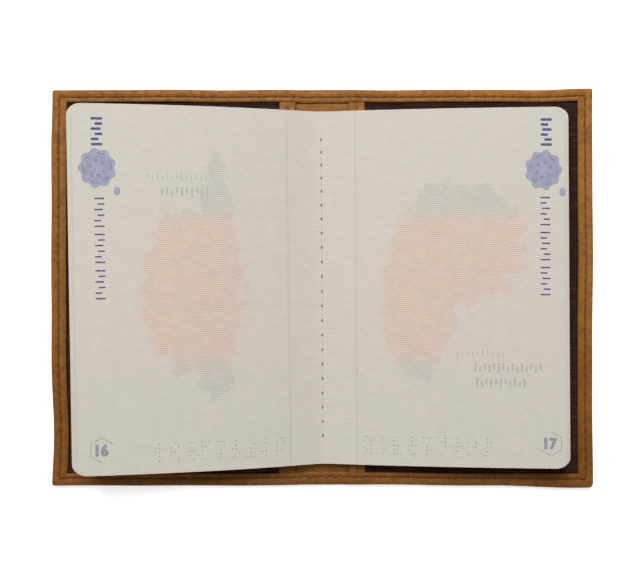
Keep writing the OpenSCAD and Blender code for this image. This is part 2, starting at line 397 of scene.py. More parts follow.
def paper_material(name):
    """Printed security paper: fine wavy lines, a pinkish band across the middle, a generic ragged patch on each
    page, tinted inside the band and grey beyond it, painted shade along the creases beside the gutter, and a
    darker rim on the top leaf that is partly painted shade. Its places run from the gutter outwards (negative on
    the front half) and up the page."""
    p = Paint(name, roughness=0.72, specular=0.25)
    x, y = p.axes()
    out, up = p.math("ABSOLUTE", x), p.math("ABSOLUTE", y)
    ripple = p.times(p.wave(x, 4.8), 0.15)
    swell = p.times(p.wave(x, 19), 0.4)
    row = p.plus(p.plus(y, swell), ripple)
    lines = p.wave(row, LINE_PITCH)
    ragged = p.math("SUBTRACT", p.noise(5, detail=5, rough=0.6), 0.5)
    band = p.span(p.plus(up, p.times(ragged, 3.0)), *BAND_EDGE, 1.0, 0.0)
    colour = p.mix(band, (0.672, 0.630, 0.548), (0.698, 0.622, 0.555))
    margin = p.span(out, 82, 86, 0.0, 0.6)
    colour = p.mix(margin, colour, (0.645, 0.645, 0.54))
    inside = None
    for centre, radii in PATCHES:
        dx = p.math("DIVIDE", p.math("SUBTRACT", x, centre[0]), radii[0])
        dy = p.math("DIVIDE", p.math("SUBTRACT", y, centre[1]), radii[1])
        reach = p.math("SQRT", p.plus(p.times(dx, dx), p.times(dy, dy)))
        patch = p.span(p.plus(reach, ragged), 0.94, 1.05, 1.0, 0.0)
        inside = patch if inside is None else p.math("MAXIMUM", inside, patch)
    cloudy = p.span(p.noise(5, detail=4), 0.3, 0.7, 0.75, 1.0)
    tint = p.mix(p.span(p.noise(7, detail=3), 0.4, 0.65), (0.785, 0.586, 0.470), (0.762, 0.579, 0.480))
    colour = p.mix(p.times(p.times(inside, band), cloudy), colour, tint)
    beyond = p.times(inside, p.math("SUBTRACT", 1.0, band))
    colour = p.mix(p.times(beyond, 0.45), colour, (0.60, 0.565, 0.51))
    strength = p.times(p.span(p.noise(4, detail=3), 0.35, 0.62, 0.37, 0.52),
                      p.plus(1.0, p.times(inside, 0.55)))
    colour = p.mix(p.times(p.span(lines, -0.5, 0.8), strength), colour, (0.41, 0.385, 0.35))
    # Painted shade: a darker line along each crease beside the gutter.
    crease = p.span(p.math("ABSOLUTE", p.math("SUBTRACT", out, CREASE_SHADE_X)), 0.1, 0.7, 0.2, 0.0)
    colour = p.mix(crease, colour, (0.36, 0.335, 0.30))
    # Darker rim on the top leaf: partly its cut edge, partly painted shade where it steps over the leaves beneath.
    colour = p.mix(p.times(p.edge(), 0.4), colour, (0.40, 0.40, 0.32))
    tooth = p.noise(0.3, detail=3)
    return p.finish(colour, tooth, depth=0.02, strength=0.6)


def cover_material(name):
    """Burgundy laminated cloth of the booklet's cover, with a fine leather-like grain."""
    p = Paint(name, roughness=0.42, specular=0.5)
    grain = p.cells(0.55, feature="SMOOTH_F1")
    colour = p.mix(p.span(grain, 0.1, 0.5), (0.035, 0.006, 0.010), (0.085, 0.012, 0.022))
    colour = p.mix(p.span(p.noise(12), 0.4, 0.7, 0.0, 0.3), colour, (0.11, 0.02, 0.03))
    return p.finish(colour, grain, depth=0.06)


def board_material(name):
    """Raw grey board, pressed from flecked fibres."""
    p = Paint(name, roughness=0.85)
    p.place = p.node("ShaderNodeVectorMath", {0: p.node("ShaderNodeTexCoord").outputs["Object"],
                                              1: (1000, 1000, 1000)}, operation="MULTIPLY").outputs[0]
    fibres = p.noise(0.6, detail=5, place=p.stretched(0.4, 2.0))
    colour = p.mix(p.span(fibres, 0.35, 0.7), (0.30, 0.27, 0.22), (0.46, 0.43, 0.37))
    return p.finish(colour, fibres, depth=0.05)


def ink_and_shade_material(name, colour, second):
    """Printing ink, a little uneven; also the painted shade of the holes in the gutter."""
    p = Paint(name, roughness=0.7, specular=0.2)
    return p.finish(p.mix(p.span(p.noise(0.8, detail=3), 0.4, 0.65), colour, second))


LEATHER = leather_material("tan_nubuck", (0.33, 0.137, 0.024), (0.27, 0.105, 0.017), (0.16, 0.053, 0.008))
INNER = leather_material("lining_leather", (0.33, 0.134, 0.022), (0.275, 0.105, 0.016), (0.18, 0.062, 0.009))
WOVEN = woven_material("woven_lining", (0.027, 0.009, 0.006), (0.080, 0.036, 0.027))
THREAD = thread_material("edge_thread", (0.15, 0.044, 0.008), (0.21, 0.068, 0.013))
WHITE_THREAD = thread_material("sewing_thread", (0.70, 0.67, 0.61), (0.82, 0.80, 0.75))
PAPER = paper_material("printed_paper")
BURGUNDY = cover_material("booklet_cover")
BOARD = board_material("grey_board")
BLUE_INK = ink_and_shade_material("blue_ink", (0.080, 0.078, 0.24), (0.12, 0.12, 0.30))
PALE_INK = ink_and_shade_material("pale_ink", (0.35, 0.355, 0.48), (0.40, 0.40, 0.50))
LINE_INK = ink_and_shade_material("line_ink", (0.23, 0.235, 0.37), (0.29, 0.295, 0.42))
LILAC_INK = ink_and_shade_material("lilac_ink", (0.28, 0.26, 0.32), (0.35, 0.33, 0.39))
GREY_INK = ink_and_shade_material("grey_ink", (0.34, 0.33, 0.32), (0.42, 0.405, 0.38))
FAINT_INK = ink_and_shade_material("faint_ink", (0.46, 0.435, 0.40), (0.52, 0.495, 0.45))
# Painted shade of the holes in the gutter.
HOLE_SHADE = ink_and_shade_material("hole_shadow", (0.17, 0.155, 0.13), (0.24, 0.22, 0.19))


def dress(piece, material, slot, *nodes):
    """Gives a piece its material and hides the CAD nodes that it stands for; slot is not used."""
    piece.data.materials.clear()
    piece.data.materials.append(material)
    if nodes:
        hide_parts(*nodes)
    return piece


def bend_at_fold(piece):
    """The piece crosses the fold line; its placement is baked into its points."""
    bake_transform(piece)


# ---- The holder's outer leather, one half at a time ----

# Radius of each corner: half of the holder, and 1 for its head or -1 for its foot.
CORNER_R = {("front", 1): 1.0, ("front", -1): 0.9, ("back", 1): 0.8, ("back", -1): 1.7}
CORE_X = HOLDER[0] - HOLDER[1]  # the middle of the panel, which its long faces run to


def hem_top(x, y):
    """Height of the turned-in edge: lower at the spine, higher where the side strips lie over the others."""
    ax, ay = np.abs(x), np.abs(y)
    height = SPINE_TOP + (HOLDER[2] - 0.15 - SPINE_TOP) * smooth(7.2, 11.5, ax)
    over = smooth(HOLDER[0] - SIDE_HEM - 0.02, HOLDER[0] - SIDE_HEM + 0.1, ax)
    return height + 0.1 * over * smooth(HOLDER[1] - 12, HOLDER[1] - LONG_HEM, ay)


def hem_under(x):
    """Height of what the turned-in edge lies on."""
    return LINING_BOX[1][2] + (PANEL_BOX[1][2] + 0.2 - LINING_BOX[1][2]) * smooth(7.2, 11.5, np.abs(x))


def outline_stations(half):
    """Outer and inner ends of the lines across the turned-in edge, from the middle of the top edge round to
    the middle of the bottom edge, each with its place along the stitching in stitches and its hem's width."""
    stations = []
    inner_x = HOLDER[0] - SIDE_HEM
    for side in (1, -1):
        r = CORNER_R[half, side]
        inner_y = HOLDER[1] - LONG_HEM
        rows = []
        for x in spaced(0, inner_x, 0.4):
            widen = 0.3 * (1 - smooth(6, 10.5, x))
            rows.append(((x, HOLDER[1]), (x, inner_y - widen), x / PITCH_X, LONG_HEM))
        for x in spaced(inner_x + 0.1, HOLDER[0] - r, 0.4):
            rows.append(((x, HOLDER[1]), (inner_x, inner_y), x / PITCH_X, LONG_HEM))
        for a in np.radians(np.linspace(80, 10, 8)):
            point = (HOLDER[0] - r + r * math.cos(a), HOLDER[1] - r + r * math.sin(a))
            rows.append((point, (inner_x, inner_y), 0, (LONG_HEM + SIDE_HEM) / 2))
        for y in spaced(HOLDER[1] - r, inner_y, -0.4):
            rows.append(((HOLDER[0], y), (inner_x, inner_y), (y + STITCH_Y) / PITCH_Y, SIDE_HEM))
        rows = [((o[0], side * o[1]), (i[0], side * i[1]), a, w) for o, i, a, w in rows]
        if side > 0:
            for y in spaced(0.4 - inner_y, inner_y - 0.4, 0.4)[::-1]:
                rows.append(((HOLDER[0], y), (inner_x, y), (y + STITCH_Y) / PITCH_Y, SIDE_HEM))
        stations += rows if side > 0 else rows[::-1]
    return [np.array(column) for column in zip(*stations)]


def skin_section(outer, inner, along, hem):
    """Points of one half of the outer leather: a row of points per station, from the panel's middle along the
    outside, round the folded edge, over the turned-in edge, and back inside to the middle."""
    width = np.linalg.norm(outer - inner, axis=1)
    core = np.stack([np.clip(outer[:, 0], 0, CORE_X), np.zeros(len(outer))], axis=1)
    phase = (1 + np.cos(2 * math.pi * along)) / 2  # 1 at a stitch hole
    hole = phase ** 1.2
    puff = 0.05 * np.sin(2 * math.pi * along / 2.3)
    under = hem_under(outer[:, 0])
    columns, edges = [], []

    def across(d):
        """Places at that distance in from the holder's edge."""
        return outer + (inner - outer) * np.minimum(d / hem, 1)[:, None]

    def add(base, z, mark=0.0):
        columns.append(np.stack([base[:, 0], base[:, 1], np.broadcast_to(z, len(base))], axis=1))
        edges.append(np.broadcast_to(mark, len(base)))

    def top(base, d):
        pressed = 0.35 * smooth(2.6, 4.6, d) * (1 - smooth(6.5, 10, np.abs(base[:, 0])))
        wavy = 0.04 * np.sin(base[:, 0] / 7) + 0.04 * np.sin(base[:, 1] / 9)
        return hem_top(base[:, 0], base[:, 1]) + wavy - pressed

    def groove(d, depth, spread=0.42):
        return depth * np.exp(-((d - STITCH_INSET) / spread) ** 2)

    for share in (1, 0.66, 0.33, 0.12):
        add(inner + (core - inner) * share, 0.0)
    for d in (4.4, 3.9, 3.5, 3.3, 3.1, 2.9, 2.7, 2.5, 2.3, 2.0, 1.6, 1.2):
        add(across(d), groove(d, 0.20 + 0.08 * phase))
    for a in np.radians((-78, -62, -45, -25, 0, 25, 45, 62, 78)):
        d = LEATHER_NOSE * (1 - math.cos(a))
        base = across(d)
        add(base, top(base, d) / 2 * (1 + math.sin(a)) + puff * math.sin(a) / 2, 0.3 * math.cos(a))
    for d in (1.1, 1.4, 1.7, 1.95, 2.15, 2.35, 2.5, 2.63, 2.76, 2.9, 3.04, 3.17, 3.3, 3.45, 3.65, 3.85, 4.1):
        base = across(d)
        crown = 0.06 * math.exp(-((d - 1.6) / 0.35) ** 2) + 0.05 * math.exp(-((d - 3.8) / 0.35) ** 2)
        sink = groove(d, 0.14 + 0.16 * hole)
        # The mark along the stitch line is painted shade in the groove, darkest at each stitch hole.
        add(base, top(base, d) + crown + puff - sink, groove(d, 0.1 + 0.9 * hole, 0.34))
    for d, low in ((0.22, 0.05), (0.1, 0.09), (0.02, 0.17), (0.0, 0.3)):
        base = inner + (outer - inner) * (d / width)[:, None]
        add(base, top(base, 4.6) - low - 0.03, 0.2 if d > 0.05 else 0.7)
    add(inner, under, 0.8)
    for d in (3.0, 1.2):
        add(across(d), under)
    add(across(1.2), LEATHER_T)
    for share in (0.12, 0.33, 0.66, 1):
        add(inner + (core - inner) * share, LEATHER_T)
    return np.stack(columns, axis=1), np.stack(edges, axis=1)


def outer_leather(half):
    points, marks = skin_section(*outline_stations(half))
    rows, columns = points.shape[:2]
    points[..., 0] *= HALVES[half]
    faces = grid_faces(rows, columns) + end_caps(rows, columns)
    piece = make_mesh(f"{half}_outer_leather", warp(points), faces, rest=points, marks=marks)
    dress(piece, LEATHER, "tan_leather", f"{half}_leather", "spine_leather")
    bend_at_fold(piece)


# ---- Stitches ----

def stitch_points(centre, direction, up, length, radius, dive):
    """One stitch: a bowed thread whose ends dive into their holes."""
    rings, sides = 9, 8
    t = np.linspace(-1, 1, rings)
    side = np.cross(up, direction)
    rows = []
    for k in t:
        r = radius * math.sqrt(max(1 - 0.75 * k ** 4, 0.02))
        middle = centre + direction * (k * length / 2) - up * (dive * k ** 4)
        turn = np.linspace(0, 2 * math.pi, sides, endpoint=False)
        rows.append(middle + r * (np.cos(turn)[:, None] * side + 0.8 * np.sin(turn)[:, None] * up))
    return np.array(rows)


def stitch_mesh(name, stitches):
    """One mesh of many stitches, each (centre, direction, up, length, radius, dive)."""
    points, faces = [], []
    for stitch in stitches:
        rows = stitch_points(*stitch)
        add_part(points, faces, rows.reshape(-1, 3), swept(rows))
    return make_mesh(name, np.concatenate(points), faces, sharp=60)


def stitch_places(low, high, pitch):
    """Middles of the stitches that fill a line from its first hole to its last."""
    count = round((high - low) / pitch)
    return [low + (k + 0.5) * (high - low) / count for k in range(count)]


def unit(*values):
    v = np.array(values, float)
    return v / np.linalg.norm(v)


def edge_stitches(half):
    """Stitches round one half of the holder, on the inside and on the outside."""
    rng = np.random.default_rng(11 if half == "front" else 12)
    sign = HALVES[half]
    xs = stitch_places(0, STITCH_X, PITCH_X)
    places = [(x, side * STITCH_Y, (1, 0, 0)) for side in (1, -1) for x in xs]
    places += [(STITCH_X, y, (0, 1, 0)) for y in stitch_places(-STITCH_Y, STITCH_Y, PITCH_Y)]
    stitches = []
    for x, y, run in places:
        slant = rng.normal(0.1, 0.03)
        run = unit(*(np.array(run) + slant * np.array((run[1], run[0], 0))))
        run[0] *= sign
        size = STITCH_R * rng.uniform(0.92, 1.08)
        centre = warp(np.array([sign * x, y, float(hem_top(x, y)) - 0.13]))
        stitches.append((centre, run, unit(0, 0, 1), STITCH_L, size, 0.32))
        below = warp(np.array([sign * x, y, 0.17]))
        stitches.append((below, run, unit(0, 0, -1), STITCH_L, size * 0.7, 0.0))
    piece = stitch_mesh(f"{half}_edge_thread", stitches)
    dress(piece, THREAD, "thread", f"{half}_edge_stitching", "spine_edge_stitching")
    bend_at_fold(piece)


# ---- Spine lining, boards, linings, pockets and their bindings ----

def spine_lining(half):
    """Smooth leather that lines the spine, a little hollow along the fold line."""
    xs = spaced(0, LINING_BOX[1][0], 0.4)
    ys = spaced(-LINING_BOX[1][1], LINING_BOX[1][1], 1.5)
    gx, gy = np.meshgrid(xs, ys, indexing="ij")
    crease = 0.12 * np.exp(-((gx - FOLD_X) / 0.8) ** 2)
    top = np.stack([HALVES[half] * gx, gy, LINING_BOX[1][2] - crease], axis=-1)
    bottom = np.stack([HALVES[half] * gx, gy, np.full_like(gx, LEATHER_T)], axis=-1)
    points, faces = slab(top, bottom)
    piece = make_mesh(f"{half}_spine_lining_leather", points, faces, marks=np.zeros(len(points)))
    dress(piece, INNER, "lining_leather", f"{half}_spine_lining", "spine_lining")
    bend_at_fold(piece)


def outside_distance(x, y, x1, y1, r):
    """Distance of points outside a rectangle from -inf to x1 and over +-y1 with round corners at x1."""
    dx, dy = x - (x1 - r), np.abs(y) - (y1 - r)
    outside = np.hypot(np.maximum(dx, 0), np.maximum(dy, 0)) + np.minimum(np.maximum(dx, dy), 0)
    return outside - r


def pocket_lift(x, y):
    """0 where the pocket lies flat under the turned-in edge, 1 where it lies on the booklet's cover."""
    return 1 - smooth(0.1, 1.5, outside_distance(np.abs(x), y, COVER_BOX[1][0], COVER_BOX[1][1], PAGE_CORNER))


def fine_axis(low, high, middle_step, edge, edge_step):
    """Points along an axis, closer together within edge of both ends."""
    parts = [spaced(low, low + edge, edge_step)[:-1], spaced(low + edge, high - edge, middle_step)]
    return np.concatenate(parts + [spaced(high - edge, high, edge_step)[1:]])


def sheet_grid(half, box, step):
    xs = fine_axis(box[0][0], box[1][0], step, 9, 0.45)
    ys = fine_axis(-box[1][1], box[1][1], step, 9, 0.45)
    gx, gy = np.meshgrid(xs, ys, indexing="ij")
    return HALVES[half] * gx, gy


def woven_lining(half):
    gx, gy = sheet_grid(half, PANEL_BOX, 6)
    top = np.stack([gx, gy, np.full_like(gx, PANEL_BOX[1][2])], axis=-1)
    points, faces = slab(top, top - np.array([0, 0, PANEL_BOX[1][2] - PANEL_BOX[0][2]]))
    piece = make_mesh(f"{half}_woven_lining", points, faces)
    dress(piece, WOVEN, "woven_lining", f"{half}_lining")
    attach(piece, f"{half}_cover")


def pocket(half):
    """Woven panel that lies over the booklet's cover and drops to the lining round it."""
    gx, gy = sheet_grid(half, POCKET_BOX, 2.5)
    low, high = POCKET_BOX[0][2] + 0.01, POCKET_BOX[1][2] - POCKET_T
    ripple = 0.03 * np.sin(gx / 3.7 + gy / 11) * np.sin(gy / 8.3)
    z = low + (high - low + ripple) * pocket_lift(gx, gy)
    top = np.stack([gx, gy, z + POCKET_T], axis=-1)
    points, faces = slab(top, np.stack([gx, gy, z], axis=-1))
    piece = make_mesh(f"{half}_pocket_fabric", points, faces)
    dress(piece, WOVEN, "woven_lining", f"{half}_pocket")
    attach(piece, f"{half}_cover")


def binding_base(y):
    """Height of the top of the pocket fabric along its mouth."""
    flat, full = POCKET_BOX[0][2] + POCKET_T, POCKET_BOX[1][2]
    return flat + (full - flat) * pocket_lift(BINDING_BOX[0][0] + 2, y)


def binding(half):
    """Leather strip folded over the pocket's mouth, with a shallow groove for its stitches."""
    x0, x1 = BINDING_BOX[0][0], BINDING_BOX[1][0]
    thick = BINDING_BOX[1][2] - POCKET_BOX[1][2]
    middle = (x0 + x1) / 2
    reach = HOLDER[1] - LONG_HEM + 0.5
    ys = spaced(-reach, reach, 0.4)
    base = binding_base(ys)
    phase = (1 + np.cos(2 * math.pi * ys / STITCH_PITCH)) / 2
    wave = 0.12 * np.sin(ys / 13 + HALVES[half]) + 0.05 * np.sin(ys / 4.1)
    drop = np.minimum(0.65, base - LINING_BOX[1][2] - 0.05)  # how far the fold reaches below the top
    columns, edges = [], []

    def add(x, z, mark=0.0):
        columns.append(np.stack([HALVES[half] * (x + wave), ys, z], axis=1))
        edges.append(np.broadcast_to(mark, len(ys)))

    add(x1, base, 0.8)
    add(x1, base + thick - 0.12, 0.8)
    add(x1 - 0.1, base + thick - 0.03, 0.3)
    # The marks along the groove are painted shade, darkest at each stitch hole.
    for x in np.linspace(x1 - 0.5, x0 + 0.7, 17):
        groove = math.exp(-((x - middle) / 0.42) ** 2)
        add(x, base + thick - (0.1 + 0.12 * phase) * groove + 0.03, (0.15 + 0.7 * phase ** 2.5) * groove ** 2)
    for a in np.radians((20, 45, 70, 90, 115, 140)):
        add(x0 + 0.45 * (1 - math.sin(a)), base + thick - drop / 2 * (1 - math.cos(a)), 0.35 * math.sin(a))
    add(x0 + 0.4, base + thick - drop)
    add(x0 + 0.45, base)
    points = np.stack(columns, axis=1)
    piece = make_mesh(f"{half}_mouth_binding", points, swept(points), marks=np.stack(edges, axis=1))
    dress(piece, INNER, "lining_leather", f"{half}_pocket_binding")
    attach(piece, f"{half}_cover")
    stitches = []
    for y in stitch_places(-20 * STITCH_PITCH, 20 * STITCH_PITCH, STITCH_PITCH):
        x = middle + 0.12 * math.sin(y / 13 + HALVES[half])
        z = float(binding_base(y)) + thick - 0.06
        stitches.append((np.array([HALVES[half] * x, y, z]), unit(0.08, 1, 0), unit(0, 0, 1),
                         STITCH_L, STITCH_R * 0.9, 0.3))
    piece = stitch_mesh(f"{half}_binding_thread", stitches)
    dress(piece, THREAD, "thread", f"{half}_binding_stitching")
    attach(piece, f"{half}_cover")


# ---- The booklet ----

def skewed(points):
    """The booklet lies slightly askew: its lines lean with their height up the page."""
    points = np.array(points, float)
    points[..., 0] -= BOOKLET_SKEW * points[..., 1]
    return points


def page_rows(length, half_height, columns, rows, start=0.0):
    """Grid of a page with round outer corners: distance from its inner edge, and place up the page."""
    body = np.linspace(start, length - PAGE_CORNER, columns)
    corner = length - PAGE_CORNER * (1 - np.sin(np.linspace(0, math.pi / 2, 9)[1:]))
    u = np.concatenate([body, corner])
    past = np.clip(u - (length - PAGE_CORNER), 0, PAGE_CORNER)
    reach = half_height - PAGE_CORNER + np.sqrt(np.maximum(PAGE_CORNER ** 2 - past ** 2, 0.0))
    v = np.linspace(-1, 1, rows)
    return np.broadcast_to(u[:, None], (len(u), rows)), reach[:, None] * v


def booklet_layer(half, name, box, material, slot, nodes, start):
    """The booklet's cover or endpaper, from the middle of the spine or the fold line outwards."""
    rows, bend_columns = 5, 20  # the part that bends is divided more finely
    u, y = page_rows(box[1][0], LEAF_H, 60, rows, start)
    inner = np.linspace(start, FOLD_X + BLEND_REACH + 1, bend_columns)
    keep = u[:, 0] > inner[-1]
    u = np.concatenate([np.broadcast_to(inner[:, None], (bend_columns, rows)), u[keep]])
    y = np.concatenate([np.broadcast_to(y[0], (bend_columns, rows)), y[keep]])
    top = np.stack([HALVES[half] * u, y, np.full_like(u, box[1][2])], axis=-1)
    points, faces = slab(top, top - np.array([0, 0, box[1][2] - box[0][2]]))
    piece = make_mesh(name, points, faces)
    dress(piece, material, slot, *nodes)
    bend_at_fold(piece)


class Leaf:
    """The shape of one leaf: its hinge, its angle and its bowed line, which starts level at the fold."""

    def __init__(self, half, number):
        self.half, self.number, self.sign = half, number, HALVES[half]
        self.body = f"{half}_leaf_{number}"
        self.joint = f"{self.body}_turn"
        self.hinge = np.array(JOINTS[self.joint]["pos_m"]) / MM
        self.angle = math.radians(CLOSED_ANGLE - 90 * RATIOS[self.joint])
        tip = np.abs([corner[0] for corner in node_box(self.body)]).max()
        self.length = (tip - abs(self.hinge[0])) / math.cos(self.angle)
        reach, first_step, last_step = FAN[half]
        self.length += reach - first_step * (number > LEAF_COUNT / 2) - last_step * (number == LEAF_COUNT)
        low, high = BOW[half]
        self.bow = low + (high - low) * (number - 1) / (LEAF_COUNT - 1)
        self.along = np.linspace(0, self.length, 400)
        t = self.along / self.length
        slope = (4 * self.bow / self.length) * (1 - 2 * t) * (1.25 - 0.5 * t)
        ease = 1 - np.exp(-self.along / 2.2)
        slope = (slope + math.tan(self.angle)) * ease - math.tan(self.angle)
        height = np.concatenate([[0], np.cumsum((slope[1:] + slope[:-1]) / 2 * np.diff(self.along))])
        self.height = height - height[-1] * smooth(0, 1, t)

    def point(self, u, y, lift=0.0):
        """Place of a point of the leaf: u from the fold, y up the page, lift over the leaf's middle."""
        u, y = np.broadcast_arrays(np.asarray(u, float), np.asarray(y, float))
        u = u * (1 - TAPER[self.half] * (1 - y / LEAF_H) / 2)
        h = np.interp(u, self.along, self.height) + self.waves(u, y) + lift
        x = abs(self.hinge[0]) + u * math.cos(self.angle) - h * math.sin(self.angle)
        z = self.hinge[2] + u * math.sin(self.angle) + h * math.cos(self.angle)
        twist = TWIST[self.half]
        return skewed(np.stack([self.sign * x - twist * y, y + self.sign * x * twist, z], axis=-1))

    def waves(self, u, y):
        """Slight cockling of the paper, and the creases that the pocket's edge pressed into the top leaf."""
        t = u / self.length
        cockle = 0.05 * np.sin(y / 19 + 1.5 * self.sign) * np.sin(u / 14)
        crease = 0.045 * np.exp(-((u - CREASE_U) / 0.7) ** 2) + 0.03 * np.exp(-((u - 17) / 1.2) ** 2)
        return t * cockle + (crease if self.number == LEAF_COUNT else 0)

    def flatten(self, piece):
        """Hangs the piece on the leaf's body and gives it a mesh of its own."""
        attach(piece, self.body)
        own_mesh(piece)


LEAVES = {(half, n): Leaf(half, n) for half in HALVES for n in range(1, LEAF_COUNT + 1)}


def leaf_piece(leaf):
    top_leaf = leaf.number == LEAF_COUNT
    u, y = page_rows(leaf.length, LEAF_H, 110 if top_leaf else 40, 41 if top_leaf else 9)
    places = np.stack([leaf.sign * u, y, np.full_like(u, PATTERN_STEP * leaf.number)], axis=-1)
    top, bottom = leaf.point(u, y, LEAF_T / 2), leaf.point(u, y, -LEAF_T / 2)
    points, faces = slab(top, bottom)
    rest = np.concatenate([places.reshape(-1, 3)] * 2)
    rim = smooth(leaf.length - PAGE_RIM_SHADE[0], leaf.length - PAGE_RIM_SHADE[1], u) * top_leaf
    marks = np.concatenate([rim.ravel(), 0 * rim.ravel()])
    piece = make_mesh(f"{leaf.half}_page_{leaf.number}", points, faces, rest=rest, marks=marks)
    dress(piece, PAPER, "paper", leaf.body)
    leaf.flatten(piece)


def sewn_folds():
    """The folds of the nested sheets: one narrow band for each sheet, round at its edges."""
    points, faces = [], []
    ys = np.linspace(-LEAF_H, LEAF_H, 30)
    for n in range(1, LEAF_COUNT + 1):
        hinge = LEAVES["back", n].hinge
        reach, half_t = hinge[0] + 0.03, LEAF_T / 2
        lowest = ENDPAPER_BOX[1][2] if n == 1 else hinge[2] - 0.1
        upper = hinge[2] + half_t
        outline = [(-reach, lowest), (reach, lowest), (reach + 0.04, hinge[2]), (reach, upper)]
        outline += [(0.4 * reach, upper - 0.02), (0, upper - 0.05), (-0.4 * reach, upper - 0.02)]
        outline += [(-reach, upper), (-reach - 0.04, hinge[2])]
        rows = np.array([[(x, y, z) for x, z in outline] for y in ys])
        add_part(points, faces, rows.reshape(-1, 3), swept(rows))
    piece = make_mesh("nested_sheet_folds", skewed(np.concatenate(points)), faces)
    dress(piece, PAPER, "paper", "booklet_sewn_folds")
    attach(piece, "spine")


def sewing_thread():
    """White thread along the fold, between small holes darkened with painted shade."""
    box = node_box("booklet_sewing_thread")
    count = round((box[1][1] - box[0][1]) / SEWING_PITCH)
    z = LEAVES["back", LEAF_COUNT].hinge[2] + 0.1
    stitches = []
    share = np.linspace(0, 1, count + 1)
    places = (share - 0.5) * count * SEWING_PITCH + SEWING_DRIFT * np.sin(math.pi * share ** 2)
    for low, high in zip(places, places[1:]):
        centre = skewed(np.array([0.05, (low + high) / 2, z]))
        length = high - low - 1.1
        stitches.append((centre, unit(0.03, 1, 0), unit(0, 0, 1), length, SEWING_R, SEWING_DIVE))
    piece = stitch_mesh("gutter_thread", stitches)
    dress(piece, WHITE_THREAD, "sewing_thread", "booklet_sewing_thread")
    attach(piece, "spine")
    # Each hole is a dark oval just above the paper: painted shade in the hole.
    points, faces = [], []
    turn = np.linspace(0, 2 * math.pi, 12, endpoint=False)
    hole = np.stack([SEWING_HOLE[0] * np.cos(turn), SEWING_HOLE[1] * np.sin(turn), 0 * turn], axis=1)
    for y in places:
        ring = skewed(np.array([0.0, y, z + 0.02])) + hole
        rows = np.array([ring - (0, 0, 0.08), ring])
        add_part(points, faces, rows.reshape(-1, 3), swept(rows))
    piece = make_mesh("gutter_holes", np.concatenate(points), faces)
    dress(piece, HOLE_SHADE, "paper")
    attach(piece, "spine")


def centre_fold(half):
    """The middle sheet runs on across the fold: a narrow strip joins its two leaves."""
    leaf = LEAVES[half, LEAF_COUNT]
    hinge = abs(leaf.hinge[0])
    ys = np.linspace(-LEAF_H, LEAF_H, 41)
    u = np.linspace(0, STRIP_W, 9)
    reach = np.concatenate([[0, hinge / 2], hinge + u])
    rx, ry = np.meshgrid(leaf.sign * reach, ys, indexing="ij")
    rest = np.stack([rx, ry, np.full_like(rx, PATTERN_STEP * LEAF_COUNT)], axis=-1)

    def surface(lift):
        outer = leaf.point(u[:, None], ys, lift)
        inner = [np.stack([np.full_like(ys, leaf.sign * x), ys, outer[0, :, 2]], axis=-1) for x in reach[:2]]
        return np.concatenate([skewed(inner), outer])

    points, faces = slab(surface(LEAF_T / 2 + 0.03), surface(LEAF_T / 2 + 0.005))
    piece = make_mesh(f"{half}_centre_fold", points, faces, rest=np.concatenate([rest.reshape(-1, 3)] * 2))
    dress(piece, PAPER, "paper")
    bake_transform(piece)


# ---- Printing on the two pages that show: generic marks, and the page numbers ----

class Print:
    """Flat marks that follow the top leaf of one half. Places: out from the fold, and up the page."""

    def __init__(self, half):
        self.leaf = LEAVES[half, LEAF_COUNT]
        self.points, self.faces = [], []

    def polygon(self, outline, centre=None):
        """A filled star-shaped outline, as a fan from its middle."""
        outline = np.array(outline, float)
        centre = outline.mean(0) if centre is None else centre
        n = len(outline)
        fan = [(0, 1 + k, 1 + (k + 1) % n) for k in range(n)]
        add_part(self.points, self.faces, np.vstack([centre, outline]), fan)

    def ribbon(self, line, width, closed=False):
        """A line of that width through the points."""
        line = np.array(line, float)
        ahead = np.roll(line, -1, axis=0) - np.roll(line, 1, axis=0)
        if not closed:
            ahead[0], ahead[-1] = line[1] - line[0], line[-1] - line[-2]
        normal = np.stack([-ahead[:, 1], ahead[:, 0]], axis=1)
        normal *= width / 2 / np.maximum(np.linalg.norm(normal, axis=1), 1e-9)[:, None]
        points = np.stack([line - normal, line + normal], axis=1).reshape(-1, 2)
        pairs = [(2 * k, 2 * ((k + 1) % len(line))) for k in range(len(line) - (not closed))]
        add_part(self.points, self.faces, points, [(a, a + 1, b + 1, b) for a, b in pairs])

    def bar(self, centre, width, height):
        """A short bar with round ends, width across the page and height up it."""
        r = min(width, height) / 2
        turn = np.linspace(0, 2 * math.pi, 13)[:-1] + 0.001
        x, y = np.cos(turn), np.sin(turn)
        ring = np.stack([x * r + np.sign(x) * (width / 2 - r), y * r + np.sign(y) * (height / 2 - r)], axis=1)
        self.polygon(ring + centre, centre=np.array(centre, float))

    def bar_row(self, centre, length, size, stroke, along_page=True):
        """Bars side by side in a row of that length, in place of a printed word."""
        count = max(3, round(length / 1.55))
        for k in range(count):
            place = (k - (count - 1) / 2) * (length - stroke) / (count - 1)
            tall = size * (1.0, 0.68, 0.68, 0.86, 0.68)[k % 5]
            offset = (size - tall) / 2 * (1 if k % 2 else -1)
            if along_page:
                self.bar((centre[0] + offset, centre[1] + place), tall, stroke)
            else:
                self.bar((centre[0] + place, centre[1] - offset), stroke, tall)

    def dot(self, centre, radius):
        turn = np.linspace(0, 2 * math.pi, 9)[:-1]
        self.polygon(np.stack([np.cos(turn), np.sin(turn)], axis=1) * radius + centre)

    def flush(self, name, material, slot, height):
        """Makes one piece of the marks drawn so far, that height above the paper."""
        flat = np.concatenate(self.points)
        points = self.leaf.point(flat[:, 0], flat[:, 1], LEAF_T / 2 + height)
        rest = np.column_stack([flat, np.zeros(len(flat))])
        piece = make_mesh(f"{self.leaf.half}_{name}", points, self.faces, rest=rest)
        dress(piece, material, slot)
        self.leaf.flatten(piece)
        self.points, self.faces = [], []


